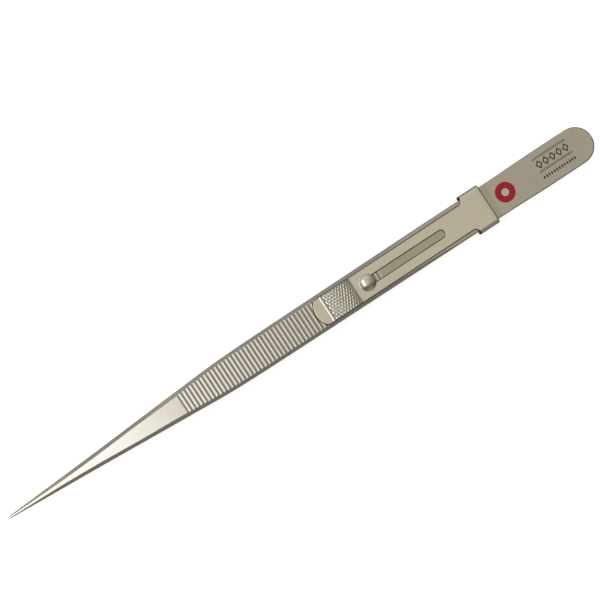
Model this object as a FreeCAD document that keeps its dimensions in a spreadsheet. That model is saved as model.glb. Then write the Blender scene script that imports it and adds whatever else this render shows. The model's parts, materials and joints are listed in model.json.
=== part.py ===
"""Precision tweezers with a slide lock: two ground steel leaves welded at the tail and a formed slide.

Every piece is drawn in the tweezers' own frame: x runs from the tail end to the tips, y across the
leaves and z out of the face of the upper leaf, with z = 0 on the plane where the two leaves meet.
The front half of each leaf is drawn straight, with its outer face parallel to x and its flexure at
x = 0, and is then swung open about that flexure. It is drawn in two stretches, the arm as far as
the bend and the nose from there to the tip. The lower leaf is the upper one turned over.
At the end the whole tweezers are laid on their lower side, on the plane z = 0.
"""
import FreeCAD, Part
import math
import os
import Sketcher

OUT_DIR = "parts"
NEAR = 0.01  # two places closer than this are the same place, mm

# alias, value in mm or degrees, what it is
DIMENSIONS = (
    ("hinge_run", 27.0, "tail end to the flexure of the leaves"),
    ("arm_run", 133.0, "flexure to the tip"),
    ("leaf_thick", 1.25, "thickness of the strip at the tail"),
    ("open_angle", 3.2, "angle of each leaf to the middle plane, open, degrees"),
    ("closed_angle", 1.54, "angle of each leaf to the middle plane, closed, degrees"),
    ("tail_end_radius", 4.44, "round end of the tail"),
    ("tail_swell_run", 13.0, "tail end to the widest place of the tail"),
    ("tail_half", 4.48, "half width at the widest place of the tail"),
    ("root_half", 4.3, "half width at the flexure"),
    ("root_play", 0.02, "gap between the two halves of a leaf at the flexure"),
    ("edge_break", 0.15, "softened edges of the strip"),
    ("bevel_start_run", 16.0, "flexure to where the side bevels start"),
    ("bevel_start_half", 4.29, "half width there"),
    ("bevel_full_run", 31.5, "flexure to where the side bevels reach full size"),
    ("bevel_full_half", 4.24, "half width there"),
    ("grip_thick_run", 48.0, "flexure to where the grip reaches full thickness"),
    ("grip_thick_half", 4.17, "half width there"),
    ("grip_half_run", 64.0, "flexure to the middle of the grip"),
    ("grip_half", 4.1, "half width there"),
    ("shoulder_run", 73.2, "flexure to where the outline turns in"),
    ("shoulder_half", 3.94, "half width there"),
    ("belly_run", 85.7, "flexure to the bend at the front of the grip"),
    ("belly_half", 3.23, "half width there"),
    ("nose_run", 110.0, "flexure to the middle of the nose"),
    ("nose_half", 1.66, "half width there"),
    ("pad_run", 121.0, "flexure to where the tip pad starts"),
    ("pad_half", 1.02, "half width there"),
    ("tip_half", 0.32, "half width at the tip"),
    ("grip_extra", 0.55, "how much thicker the grip is than the tail"),
    ("tip_thick", 0.5, "thickness at the tip"),
    ("tip_gap", 0.02, "half the gap left between the closed tip pads"),
    ("bevel_wide", 0.86, "width of the side bevel on the grip"),
    ("belly_bevel", 1.0, "width of the side bevel at the bend"),
    ("nose_bevel", 0.83, "width of the side bevel on the nose"),
    ("pad_bevel", 0.68, "width of the side bevel at the tip pad"),
    ("tip_bevel", 0.16, "width of the side bevel at the tip"),
    ("bevel_deep", 0.7, "depth of the side bevel"),
    ("rib_run", 31.7, "flexure to the first groove between ribs"),
    ("rib_pitch", 1.0154, "distance from groove to groove"),
    ("rib_count", 54, "number of grooves"),
    ("rib_crest", 0.16, "width of the crest between two grooves"),
    ("rib_deep", 0.13, "depth of a groove"),
    ("rivet_run", 34.95, "flexure to the guide rivet"),
    ("dome_radius", 2.05, "radius of the rivet's dome head"),
    ("dome_high", 1.05, "height of the dome head"),
    ("shoulder_radius", 0.89, "radius of the rivet's shoulder in the slot"),
    ("shank_radius", 0.75, "radius of the shank in the leaf"),
    ("peen_radius", 1.2, "radius of the peened end"),
    ("peen_deep", 0.45, "depth of the countersink for the peened end"),
    ("hole_play", 0.02, "gap round the shank and the peened end"),
    ("sheet_thick", 0.5, "thickness of the slide's sheet"),
    ("slide_play", 0.03, "gap under the slide and under the dome"),
    ("slide_rear_run", 1.5, "flexure to the slide's rear edge"),
    ("plate_half", 3.4, "half width of the slide's plate"),
    ("hump_rear_run", 38.35, "flexure to the rear foot of the thumb hump"),
    ("hump_length", 7.8, "length of the thumb hump"),
    ("hump_high", 1.4, "height of the thumb hump above the plate"),
    ("lip_length", 3.0, "length of the front lip"),
    ("lip_radius", 5.75, "radius of the front lip's edge"),
    ("lip_corner", 2.4, "radius of the lip's two corners"),
    ("slot_half", 0.92, "half width of the slot"),
    ("slot_travel", 20.3, "distance between the centres of the slot's ends"),
    ("collar_length", 5.2, "length of the ears along the slide"),
    ("collar_half", 5.09, "half width over the ears"),
    ("collar_bend", 1.0, "outside radius of the ears' bends"),
    ("collar_floor", 2.79, "middle plane of the straight leaf to the inside of the folded ends"),
    ("seam_half", 0.8, "half the gap between the folded ends"),
    ("neck_radius", 0.5, "inside corners between the plate and the ears"),
    ("badge_run", 23.75, "tail end to the centre of the emblem"),
    ("badge_radius", 2.4, "radius of the emblem"),
    ("badge_deep", 0.3, "depth of the recess for the emblem"),
    ("badge_centre_radius", 0.9, "radius of the pale centre"),
    ("badge_play", 0.02, "gap round the emblem's pieces"),
    ("weld_first_run", 7.0, "tail end to the first spot weld"),
    ("weld_pitch", 9.0, "distance between the spot welds"),
    ("weld_count", 2, "number of spot welds"),
    ("weld_radius", 1.5, "radius of a spot weld"),
    ("weld_half", 0.3, "depth of a spot weld in each leaf"),
    ("weld_play", 0.02, "gap round a spot weld"),
)

doc = FreeCAD.newDocument("precision_tweezers")
sheet = doc.addObject("Spreadsheet::Sheet", "Dims")


def fill_sheet():
    """Write every driving dimension into the sheet, with its alias and a note."""
    for row, (alias, value, note) in enumerate(DIMENSIONS, start=1):
        sheet.set(f"A{row}", note)
        sheet.set(f"B{row}", str(value))
        sheet.setAlias(f"B{row}", alias)
    doc.recompute()


def cell(alias):
    """The value of one driving dimension."""
    return float(sheet.get(alias))


def bind(feature, **properties):
    """Tie properties of a feature to expressions over the sheet."""
    for name, expression in properties.items():
        feature.setExpression(name.replace("__", "."), expression)


# ---------------------------------------------------------------- sketch helpers

def new_body(label):
    body = doc.addObject("PartDesign::Body", label)
    body.Label = label
    return body


def origin_part(body, role):
    """One of the body's own origin planes or axes."""
    return next(item for item in body.Origin.OriginFeatures if item.Role == role)


def new_sketch(body, name, role, lift):
    """An empty sketch on an origin plane of its body, lifted off it by an expression."""
    sketch = body.newObject("Sketcher::SketchObject", name)
    sketch.AttachmentSupport = [(origin_part(body, role), "")]
    sketch.MapMode = "FlatFace"
    sketch.setExpression("AttachmentOffset.Base.z", lift)
    doc.recompute()
    return sketch


def number(sketch, expression):
    """The present value of an expression."""
    value = sketch.evalExpression(expression)
    return float(getattr(value, "Value", value))


def hold(sketch, kind, *where, value):
    """Add a dimensional constraint and bind it to its expression."""
    index = sketch.addConstraint(Sketcher.Constraint(kind, *where, number(sketch, value)))
    sketch.setExpression(f"Constraints[{index}]", value)


def arc_middle(start, end, radius, bulge):
    """The middle point of the short arc from start to end; bulge 1 is right of the way, -1 left."""
    chord = end - start
    rise = radius - math.sqrt(max(radius * radius - chord.Length ** 2 / 4, 0.0))
    sideways = FreeCAD.Vector(chord.y, -chord.x, 0).normalize()
    return (start + end) * 0.5 + sideways * (rise * bulge)


def outline(body, name, role, corners, arcs=None, lift="0"):
    """A closed outline through corners given as pairs of expressions, taken anticlockwise.

    arcs maps the number of a side to (radius expression, bulge): bulge 1 is outward, -1 inward.
    """
    arcs = arcs or {}
    sketch = new_sketch(body, name, role, lift)
    places = [FreeCAD.Vector(number(sketch, x), number(sketch, y), 0) for x, y in corners]
    count = len(places)
    first_end = {}
    for side, start in enumerate(places):
        end = places[(side + 1) % count]
        if side in arcs:
            radius, bulge = arcs[side]
            middle = arc_middle(start, end, number(sketch, radius), bulge)
            anticlockwise = (start, middle, end) if bulge > 0 else (end, middle, start)
            first_end[side] = 1 if bulge > 0 else 2
            sketch.addGeometry(Part.Arc(*anticlockwise), False)
        else:
            first_end[side] = 1
            sketch.addGeometry(Part.LineSegment(start, end), False)
    for side in range(count):
        after = (side + 1) % count
        last_end = 3 - first_end[side]
        sketch.addConstraint(Sketcher.Constraint("Coincident", side, last_end, after, first_end[after]))
    for side, (x, y) in enumerate(corners):
        hold(sketch, "DistanceX", -1, 1, side, first_end[side], value=x)
        hold(sketch, "DistanceY", -1, 1, side, first_end[side], value=y)
    for side, (radius, _) in arcs.items():
        hold(sketch, "Radius", side, value=radius)
    return sketch


def circle(body, name, role, centre, radius, lift="0"):
    """A circle sketch with its centre and radius bound to expressions."""
    sketch = new_sketch(body, name, role, lift)
    middle = FreeCAD.Vector(number(sketch, centre[0]), number(sketch, centre[1]), 0)
    up = FreeCAD.Vector(0, 0, 1)
    sketch.addGeometry(Part.Circle(middle, up, number(sketch, radius)), False)
    hold(sketch, "DistanceX", -1, 1, 0, 3, value=centre[0])
    hold(sketch, "DistanceY", -1, 1, 0, 3, value=centre[1])
    hold(sketch, "Radius", 0, value=radius)
    return sketch


def pad(body, sketch, length, symmetric=False):
    feature = body.newObject("PartDesign::Pad", sketch.Name + "_pad")
    feature.Profile = sketch
    feature.SideType = "Symmetric" if symmetric else "One side"
    bind(feature, Length=length)
    doc.recompute()
    return feature


def pocket(body, sketch, length, symmetric=False, reverse=False):
    """Cut a sketch out of its body, and make sure that something was cut."""
    before = body.Shape.Volume
    feature = body.newObject("PartDesign::Pocket", sketch.Name + "_pocket")
    feature.Profile = sketch
    feature.SideType = "Symmetric" if symmetric else "One side"
    feature.Reversed = reverse
    bind(feature, Length=length)
    doc.recompute()
    if body.Shape.Volume > before - 1e-6:
        raise RuntimeError(f"{feature.Name} cuts nothing")
    return feature


def edges_where(shape, test):
    """Names of the edges whose middle point passes a test."""
    names = []
    for index, edge in enumerate(shape.Edges, start=1):
        middle = edge.valueAt((edge.FirstParameter + edge.LastParameter) / 2)
        if test(edge, middle):
            names.append(f"Edge{index}")
    return names


# ---------------------------------------------------------------- front half of a leaf

def pad_plane(run):
    """Height of the tip pad's plane on the straight leaf, at a run from the flexure."""
    return f"(Dims.tip_gap - {run} * tan(Dims.closed_angle * 1 deg))"


def nose_top(run):
    """Height of the nose's outer face, from the bend down to the tip."""
    tip_top = f"({pad_plane('Dims.arm_run')} + Dims.tip_thick)"
    slope = f"((Dims.leaf_thick - {tip_top}) / (Dims.arm_run - Dims.belly_run))"
    return f"(Dims.leaf_thick - ({run} - Dims.belly_run) * {slope})"


def nose_floor(run):
    """Height of the nose's inner face, from the bend down to the start of the tip pad."""
    drop = f"({pad_plane('Dims.pad_run')} + Dims.grip_extra)"
    return f"(-Dims.grip_extra + ({run} - Dims.belly_run) / (Dims.pad_run - Dims.belly_run) * {drop})"


def arm_stations():
    """Cross-sections from the flexure to the bend at the front of the grip.

    Each is (name, run, half width, bevel width, bevel depth, outer height, inner height).
    """
    top = "Dims.leaf_thick"
    floor = "-Dims.grip_extra"
    edge = "Dims.edge_break"
    wide = "Dims.bevel_wide"
    deep = "Dims.bevel_deep"
    root = "(Dims.leaf_thick * tan(Dims.open_angle * 1 deg) + Dims.root_play)"
    return (
        ("root", root, "Dims.root_half", edge, edge, top, "0"),
        ("bevel_start", "Dims.bevel_start_run", "Dims.bevel_start_half", edge, edge, top, "0"),
        ("bevel_full", "Dims.bevel_full_run", "Dims.bevel_full_half", wide, deep, top, "0"),
        ("grip_rear", "Dims.grip_thick_run", "Dims.grip_thick_half", wide, deep, top, floor),
        ("grip", "Dims.grip_half_run", "Dims.grip_half", wide, deep, top, floor),
        ("shoulder", "Dims.shoulder_run", "Dims.shoulder_half", wide, deep, top, floor),
        ("belly", "Dims.belly_run", "Dims.belly_half", "Dims.belly_bevel", deep, top, floor),
    )


def nose_stations():
    """Cross-sections from the bend to the tip, each given as the arm's are."""
    deep = "Dims.bevel_deep"
    nose = "Dims.nose_run"
    tip_pad = "Dims.pad_run"
    tip = "Dims.arm_run"
    return (
        arm_stations()[-1],
        ("nose", nose, "Dims.nose_half", "Dims.nose_bevel", deep, nose_top(nose), nose_floor(nose)),
        ("pad", tip_pad, "Dims.pad_half", "Dims.pad_bevel", deep, nose_top(tip_pad), pad_plane(tip_pad)),
        ("tip", tip, "Dims.tip_half", "Dims.tip_bevel", "Dims.edge_break", nose_top(tip), pad_plane(tip)),
    )


def arm_section(body, station):
    """One six-cornered cross-section: flat outer face, two bevels, two sides, flat inner face."""
    name, run, half, bevel, deep, top, floor = station
    flat = f"({half} - {bevel})"
    side_top = f"({top} - {deep})"
    corners = (
        (f"-{half}", floor),
        (half, floor),
        (half, side_top),
        (flat, top),
        (f"-{flat}", top),
        (f"-{half}", side_top),
    )
    return outline(body, f"{body.Label}_{name}", "YZ_Plane", corners, lift=run)


def loft_through(body, stations):
    """Skin a stretch of the leaf straight from cross-section to cross-section."""
    sections = [arm_section(body, station) for station in stations]
    loft = body.newObject("PartDesign::AdditiveLoft", f"{body.Label}_loft")
    loft.Profile = sections[0]
    loft.Sections = sections[1:]
    loft.Ruled = True
    doc.recompute()


def cut_groove(body, run):
    """Cut one shallow round groove across the outer face, at a run from the flexure."""
    half = "((Dims.rib_pitch - Dims.rib_crest) / 2)"
    radius = f"(({half} * {half} + Dims.rib_deep * Dims.rib_deep) / (2 * Dims.rib_deep))"
    centre = (run, f"Dims.leaf_thick + {radius} - Dims.rib_deep")
    sketch = circle(body, f"{body.Label}_groove", "XZ_Plane", centre, radius)
    return pocket(body, sketch, "Dims.grip_half * 3", symmetric=True)


def groove_ribs(body):
    """Cut the row of grooves across the outer face of the grip."""
    groove = cut_groove(body, "Dims.rib_run")
    before = body.Shape.Volume
    row = body.newObject("PartDesign::LinearPattern", f"{body.Label}_grooves")
    row.Originals = [groove]
    row.Direction = (origin_part(body, "X_Axis"), [""])
    bind(row, Length="Dims.rib_pitch * (Dims.rib_count - 1)", Occurrences="Dims.rib_count")
    body.Tip = row
    doc.recompute()
    if body.Shape.Volume > before - 1.0:
        raise RuntimeError(f"{row.Name} cuts nothing")


def make_arm(label, riveted):
    """A leaf from its flexure to its bend; the upper one has the countersunk hole for the rivet."""
    body = new_body(label)
    loft_through(body, arm_stations())
    groove_ribs(body)
    if riveted:
        centre = ("Dims.rivet_run", "0")
        bore = circle(body, f"{label}_bore", "XY_Plane", centre, "Dims.shank_radius + Dims.hole_play")
        pocket(body, bore, "Dims.leaf_thick * 4", symmetric=True)
        sink = circle(body, f"{label}_sink", "XY_Plane", centre, "Dims.peen_radius + Dims.hole_play",
                      lift="-Dims.grip_extra")
        pocket(body, sink, "Dims.grip_extra + Dims.peen_deep", reverse=True)
    return body


def make_nose(label):
    """A leaf from its bend to its tip, with the front side of the last groove."""
    body = new_body(label)
    loft_through(body, nose_stations())
    cut_groove(body, "Dims.rib_run + Dims.rib_pitch * (Dims.rib_count - 1)")
    return body


# ---------------------------------------------------------------- tail half of a leaf

def make_tail(label, badge):
    """The welded half of a leaf; the upper one has the recess for the emblem."""
    body = new_body(label)
    end = "Dims.tail_end_radius"
    corners = (
        ("0", "0"),
        (end, f"-{end}"),
        ("Dims.tail_swell_run", "-Dims.tail_half"),
        ("Dims.hinge_run", "-Dims.root_half"),
        ("Dims.hinge_run", "Dims.root_half"),
        ("Dims.tail_swell_run", "Dims.tail_half"),
        (end, end),
    )
    shape = outline(body, f"{label}_outline", "XY_Plane", corners, arcs={0: (end, 1), 6: (end, 1)})
    strip = pad(body, shape, "Dims.leaf_thick")
    top = cell("leaf_thick")
    front = cell("hinge_run")
    soften = body.newObject("PartDesign::Chamfer", f"{label}_edge")
    soften.Base = (strip, edges_where(
        strip.Shape, lambda edge, middle: abs(middle.z - top) < NEAR and middle.x < front - NEAR))
    bind(soften, Size="Dims.edge_break")
    doc.recompute()
    for index in range(int(cell("weld_count"))):
        centre = (f"Dims.weld_first_run + Dims.weld_pitch * {index}", "0")
        seat = circle(body, f"{label}_weld_seat_{index + 1}", "XY_Plane", centre, "Dims.weld_radius")
        pocket(body, seat, "Dims.weld_half", reverse=True)
    if badge:
        recess = circle(body, f"{label}_recess", "XY_Plane", ("Dims.badge_run", "0"),
                        "Dims.badge_radius", lift="Dims.leaf_thick")
        pocket(body, recess, "Dims.badge_deep")
    return body


def make_welds(label):
    """The weld nuggets between the two leaves, as one group of separate discs."""
    discs = []
    for index in range(int(cell("weld_count"))):
        disc = doc.addObject("Part::Cylinder", f"weld_{index + 1}")
        bind(disc, Radius="Dims.weld_radius - Dims.weld_play", Height="Dims.weld_half * 2")
        bind(disc, Placement__Base__x=f"Dims.weld_first_run + Dims.weld_pitch * {index}",
             Placement__Base__z="-Dims.weld_half")
        discs.append(disc)
    group = doc.addObject("Part::Compound", label)
    group.Links = discs
    group.Label = label
    doc.recompute()
    return group


def make_badge(label):
    """The emblem's enamel ring, flush with the face of the tail."""
    body = new_body(label)
    centre = ("Dims.badge_run", "0")
    floor = "Dims.leaf_thick - Dims.badge_deep"
    disc = circle(body, f"{label}_disc", "XY_Plane", centre, "Dims.badge_radius - Dims.badge_play", floor)
    pad(body, disc, "Dims.badge_deep")
    eye = circle(body, f"{label}_eye", "XY_Plane", centre, "Dims.badge_centre_radius", floor)
    pocket(body, eye, "Dims.badge_deep * 3", symmetric=True)
    return body


def make_badge_centre(label):
    """The pale round centre of the emblem."""
    body = new_body(label)
    floor = "Dims.leaf_thick - Dims.badge_deep"
    dot = circle(body, f"{label}_dot", "XY_Plane", ("Dims.badge_run", "0"),
                 "Dims.badge_centre_radius - Dims.badge_play", floor)
    pad(body, dot, "Dims.badge_deep")
    return body


# ---------------------------------------------------------------- slide lock and its rivet

PLATE_FLOOR = "(Dims.leaf_thick + Dims.slide_play)"
PLATE_TOP = f"({PLATE_FLOOR} + Dims.sheet_thick)"


def pad_slide_profile(body):
    """Side view of the sheet: plate, round thumb hump and front lip, at an even thickness."""
    half = "(Dims.hump_length / 2)"
    outer = f"(({half} * {half} + Dims.hump_high * Dims.hump_high) / (2 * Dims.hump_high))"
    inner = f"({outer} - Dims.sheet_thick)"
    fall = f"({inner} - Dims.hump_high)"
    foot = f"({half} - sqrt({inner} * {inner} - {fall} * {fall}))"
    hump_front = "(Dims.hump_rear_run + Dims.hump_length)"
    lip_front = f"({hump_front} + Dims.lip_length)"
    corners = (
        ("Dims.slide_rear_run", PLATE_FLOOR),
        (f"Dims.hump_rear_run + {foot}", PLATE_FLOOR),
        (f"{hump_front} - {foot}", PLATE_FLOOR),
        (lip_front, PLATE_FLOOR),
        (lip_front, PLATE_TOP),
        (hump_front, PLATE_TOP),
        ("Dims.hump_rear_run", PLATE_TOP),
        ("Dims.slide_rear_run", PLATE_TOP),
    )
    profile = outline(body, "slide_profile", "XZ_Plane", corners, arcs={1: (inner, -1), 5: (outer, 1)})
    pad(body, profile, "Dims.plate_half * 2", symmetric=True)
    return lip_front


def trim_lip(body, lip_front):
    """Round the front edge of the lip to its half-moon shape."""
    half = "Dims.plate_half"
    side = f"({lip_front} - Dims.lip_radius + sqrt(Dims.lip_radius * Dims.lip_radius - {half} * {half}))"
    corners = (
        (side, f"-{half}"),
        (f"{lip_front} + Dims.sheet_thick", f"-{half}"),
        (f"{lip_front} + Dims.sheet_thick", half),
        (side, half),
    )
    waste = outline(body, "lip_waste", "XY_Plane", corners, arcs={3: ("Dims.lip_radius", -1)})
    pocket(body, waste, f"{PLATE_TOP} * 3", symmetric=True)


def cut_slot(body):
    """The guide slot, as long as the slide's travel, with round ends."""
    half = "Dims.slot_half"
    front = "Dims.rivet_run"
    rear = "(Dims.rivet_run - Dims.slot_travel)"
    corners = (
        (rear, f"-{half}"),
        (front, f"-{half}"),
        (f"{front} + {half}", "0"),
        (front, half),
        (rear, half),
        (f"{rear} - {half}", "0"),
    )
    arcs = {side: (half, 1) for side in (1, 2, 4, 5)}
    slot = outline(body, "slide_slot", "XY_Plane", corners, arcs=arcs)
    pocket(body, slot, f"{PLATE_TOP} * 3", symmetric=True)


def pad_collar(body):
    """The two ears: down both sides of the leaves and folded under the lower one."""
    wall = "Dims.sheet_thick"
    bend = "Dims.collar_bend"
    side = "Dims.collar_half"
    turn = f"({side} - {bend})"
    inside = f"({side} - {wall})"
    top = PLATE_TOP
    under_top = PLATE_FLOOR
    floor = "(-Dims.collar_floor)"
    bottom = f"({floor} - {wall})"
    high = f"({top} - {bend})"
    low = f"({bottom} + {bend})"
    right = (
        ("Dims.seam_half", bottom),
        (turn, bottom),
        (side, low),
        (side, high),
        (turn, top),
    )
    left = tuple((f"-{y}", z) for y, z in reversed(right))
    inner_left = (
        ("-Dims.seam_half", floor),
        (f"-{turn}", floor),
        (f"-{inside}", low),
        (f"-{inside}", high),
        (f"-{turn}", under_top),
    )
    inner_right = tuple((y[1:], z) for y, z in reversed(inner_left))
    corners = right + left + inner_left + inner_right
    inner_bend = f"({bend} - {wall})"
    arcs = {side_number: (bend, 1) for side_number in (1, 3, 5, 7)}
    arcs.update({side_number: (inner_bend, -1) for side_number in (11, 13, 15, 17)})
    section = outline(body, "slide_collar", "YZ_Plane", corners, arcs=arcs, lift="Dims.slide_rear_run")
    pad(body, section, "Dims.collar_length")


def round_uprights(body, name, run, half, radius):
    """Round the two upright edges at one distance along the slide, one on each side of its middle."""

    def at_place(edge, middle):
        upright = abs(edge.tangentAt(edge.FirstParameter).z) > 0.99
        return upright and abs(middle.x - run) < NEAR and abs(abs(middle.y) - half) < NEAR

    base = body.Tip
    rounding = body.newObject("PartDesign::Fillet", name)
    rounding.Base = (base, edges_where(base.Shape, at_place))
    bind(rounding, Radius=radius)
    doc.recompute()


def make_slide(label):
    body = new_body(label)
    lip_front = pad_slide_profile(body)
    trim_lip(body, lip_front)
    half = cell("plate_half")
    lip_radius = cell("lip_radius")
    lip_run = cell("hump_rear_run") + cell("hump_length") + cell("lip_length")
    lip_side = lip_run - lip_radius + math.sqrt(lip_radius ** 2 - half ** 2)
    round_uprights(body, "lip_corners", lip_side, half, "Dims.lip_corner")
    cut_slot(body)
    pad_collar(body)
    neck = cell("slide_rear_run") + cell("collar_length")
    round_uprights(body, "slide_neck", neck, half, "Dims.neck_radius")
    return body


def make_rivet(label):
    """Dome head, shoulder in the slot, shank through the leaf and a peened end, turned about z."""
    body = new_body(label)
    dome = "Dims.dome_radius"
    high = "Dims.dome_high"
    seat = "Dims.leaf_thick"
    under = f"({PLATE_TOP} + Dims.slide_play)"
    peen_top = "Dims.peen_deep"
    share = "((Dims.rivet_run - Dims.bevel_full_run) / (Dims.grip_thick_run - Dims.bevel_full_run))"
    end = f"(-Dims.grip_extra * {share} + Dims.hole_play)"
    head_radius = f"(({dome} * {dome} + {high} * {high}) / (2 * {high}))"
    corners = (
        ("0", end),
        ("Dims.peen_radius", end),
        ("Dims.peen_radius", peen_top),
        ("Dims.shank_radius", peen_top),
        ("Dims.shank_radius", seat),
        ("Dims.shoulder_radius", seat),
        ("Dims.shoulder_radius", under),
        (dome, under),
        ("0", f"{under} + {high}"),
    )
    half_view = outline(body, "rivet_half", "XZ_Plane", corners, arcs={7: (head_radius, 1)})
    turned = body.newObject("PartDesign::Revolution", "rivet_turned")
    turned.Profile = half_view
    turned.ReferenceAxis = (half_view, ["V_Axis"])
    turned.Angle = 360
    doc.recompute()
    return body


# ---------------------------------------------------------------- laying the tweezers on the table

def swing(angle):
    """Turn about the y axis that lifts the +x side by an angle in degrees."""
    return FreeCAD.Rotation(FreeCAD.Vector(0, -1, 0), angle)


def table_tilt():
    """Angle at which the tweezers lie on the bend of the lower leaf and on the collar's rear edge."""
    spread = swing(cell("open_angle"))
    belly = spread.multVec(FreeCAD.Vector(cell("belly_run"), 0, cell("leaf_thick")))
    heel_depth = cell("collar_floor") + cell("sheet_thick")
    heel = spread.multVec(FreeCAD.Vector(cell("slide_rear_run"), 0, -heel_depth))
    return math.degrees(math.atan2(belly.z + heel.z, belly.x - heel.x))


def place(tail_pieces, upper_pieces, lower_pieces, rivet):
    """Swing both leaves open, then tilt and shift the whole so that it lies centred on z = 0."""
    hinge = FreeCAD.Vector(cell("hinge_run"), 0, 0)
    opened = FreeCAD.Placement(hinge, swing(cell("open_angle")))
    turned_over = FreeCAD.Placement(FreeCAD.Vector(), FreeCAD.Rotation(FreeCAD.Vector(1, 0, 0), 180))
    along = FreeCAD.Placement(FreeCAD.Vector(cell("rivet_run"), 0, 0), FreeCAD.Rotation())
    own = {piece: FreeCAD.Placement() for piece in tail_pieces}
    own.update({piece: opened for piece in upper_pieces})
    own.update({piece: turned_over * opened for piece in lower_pieces})
    own[rivet] = opened * along
    lower_tail = next(piece for piece in tail_pieces if piece.Label == "lower_tail")
    own[lower_tail] = turned_over
    lie = FreeCAD.Placement(FreeCAD.Vector(), swing(table_tilt()))
    for piece, placement in own.items():
        piece.Placement = lie * placement
    doc.recompute()
    box = Part.makeCompound([piece.Shape for piece in own]).BoundBox
    shift = FreeCAD.Vector(-(box.XMin + box.XMax) / 2, -(box.YMin + box.YMax) / 2, -box.ZMin)
    for piece in own:
        piece.Placement = FreeCAD.Placement(shift, FreeCAD.Rotation()) * piece.Placement
    doc.recompute()


def check_and_write(pieces):
    """Stop on any failed object, then write each piece to its own file."""
    for item in doc.Objects:
        if "Invalid" in item.State or "Error" in item.State:
            raise RuntimeError(f"{item.Name} failed: {item.State}")
    os.makedirs(OUT_DIR, exist_ok=True)
    for piece in pieces:
        shape = piece.Shape
        if shape.isNull() or not shape.isValid():
            raise RuntimeError(f"{piece.Label} has no valid shape")
        shape.exportStep(f"{OUT_DIR}/{piece.Label}.step")


fill_sheet()
upper_tail = make_tail("upper_tail", badge=True)
lower_tail = make_tail("lower_tail", badge=False)
spot_welds = make_welds("spot_welds")
badge_enamel = make_badge("badge_enamel")
badge_centre = make_badge_centre("badge_centre")
upper_arm = make_arm("upper_arm", riveted=True)
lower_arm = make_arm("lower_arm", riveted=False)
upper_nose = make_nose("upper_nose")
lower_nose = make_nose("lower_nose")
slide_lock = make_slide("slide_lock")
guide_rivet = make_rivet("guide_rivet")
tail_group = [upper_tail, lower_tail, spot_welds, badge_enamel, badge_centre]
upper_group = [upper_arm, upper_nose, slide_lock]
lower_group = [lower_arm, lower_nose]
place(tail_group, upper_group, lower_group, guide_rivet)
check_and_write(tail_group + upper_group + lower_group + [guide_rivet])
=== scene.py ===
"""Looks of the slide-lock tweezers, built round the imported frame.

Sizes are in millimetres. A leaf is drawn straight, in its own frame: x from the flexure to the tip, with
the tail at negative x, y across and z out of its outer face, with z = 0 where the two leaves meet.
"""

import json
import math

import bmesh
import bpy
from mathutils import Matrix, Vector

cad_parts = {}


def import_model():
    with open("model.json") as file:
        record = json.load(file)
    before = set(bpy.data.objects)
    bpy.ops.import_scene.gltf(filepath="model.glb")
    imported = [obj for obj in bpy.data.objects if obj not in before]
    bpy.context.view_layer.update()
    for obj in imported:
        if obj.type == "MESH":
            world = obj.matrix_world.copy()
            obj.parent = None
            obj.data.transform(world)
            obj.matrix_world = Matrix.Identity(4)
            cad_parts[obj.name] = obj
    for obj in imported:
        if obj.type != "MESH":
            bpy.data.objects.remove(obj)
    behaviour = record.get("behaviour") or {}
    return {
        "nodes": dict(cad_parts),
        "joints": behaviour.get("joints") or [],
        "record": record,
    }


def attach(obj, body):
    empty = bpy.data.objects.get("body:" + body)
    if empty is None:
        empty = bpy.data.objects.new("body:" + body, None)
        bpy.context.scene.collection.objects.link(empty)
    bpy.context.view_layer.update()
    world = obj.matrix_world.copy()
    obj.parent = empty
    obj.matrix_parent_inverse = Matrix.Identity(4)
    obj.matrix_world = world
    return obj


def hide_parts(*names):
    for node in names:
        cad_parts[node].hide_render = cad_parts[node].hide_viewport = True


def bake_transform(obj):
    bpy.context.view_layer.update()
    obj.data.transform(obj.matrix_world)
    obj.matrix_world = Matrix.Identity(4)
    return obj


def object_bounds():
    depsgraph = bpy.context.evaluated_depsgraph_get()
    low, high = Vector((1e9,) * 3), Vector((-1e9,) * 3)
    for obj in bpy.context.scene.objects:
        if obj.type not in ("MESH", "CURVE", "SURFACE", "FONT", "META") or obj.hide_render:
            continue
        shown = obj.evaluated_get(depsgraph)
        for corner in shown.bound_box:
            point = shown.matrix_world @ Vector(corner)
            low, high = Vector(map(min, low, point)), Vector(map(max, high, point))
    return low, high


MM = 0.001

# the leaves
TAIL_END = -27.0
TAIL_RADIUS = 4.44
TIP = 133.0
LEAF_THICK = 1.25
GRIP_EXTRA = 0.55
TIP_THICK = 0.5
TIP_GAP = 0.02
CLOSED_ANGLE = math.radians(1.54)
EDGE = 0.3
BEND_REACH = 1.2
MEET_GAP = 0.004
BELLY = 85.7
PAD = 121.0
ROUND_EDGE_END = 10.0
INNER_EDGE = 0.06
GRIP_THICK_START = 31.5
GRIP_THICK_END = 48.0
# (distance from the tip, half width of the leaf)
HALF_WIDTHS = ((0, 0.32), (12, 1.02), (23, 1.66), (47.3, 3.23), (59.8, 3.94), (69, 4.1), (101.5, 4.24),
               (117, 4.29), (133, 4.3), (147, 4.48), (155.56, 4.44))
# (distance from the tip, half width of the flat outer face between the side bevels)
FLAT_HALVES = ((0, 0.12), (12, 0.34), (23, 0.82), (34.5, 1.58), (46, 2.2), (50.6, 2.54), (59.8, 3.09),
               (69, 3.25), (101.5, 3.4), (112, 3.7), (122, 3.95), (133, 4.0), (147, 4.18), (155.56, 4.14))
# (distance from the tip, depth of the side bevel)
BEVEL_DEPTHS = ((0, 0.15), (12, 0.45), (23, 0.62), (98, 0.62), (117, 0.4), (130, EDGE), (160, EDGE))

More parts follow.
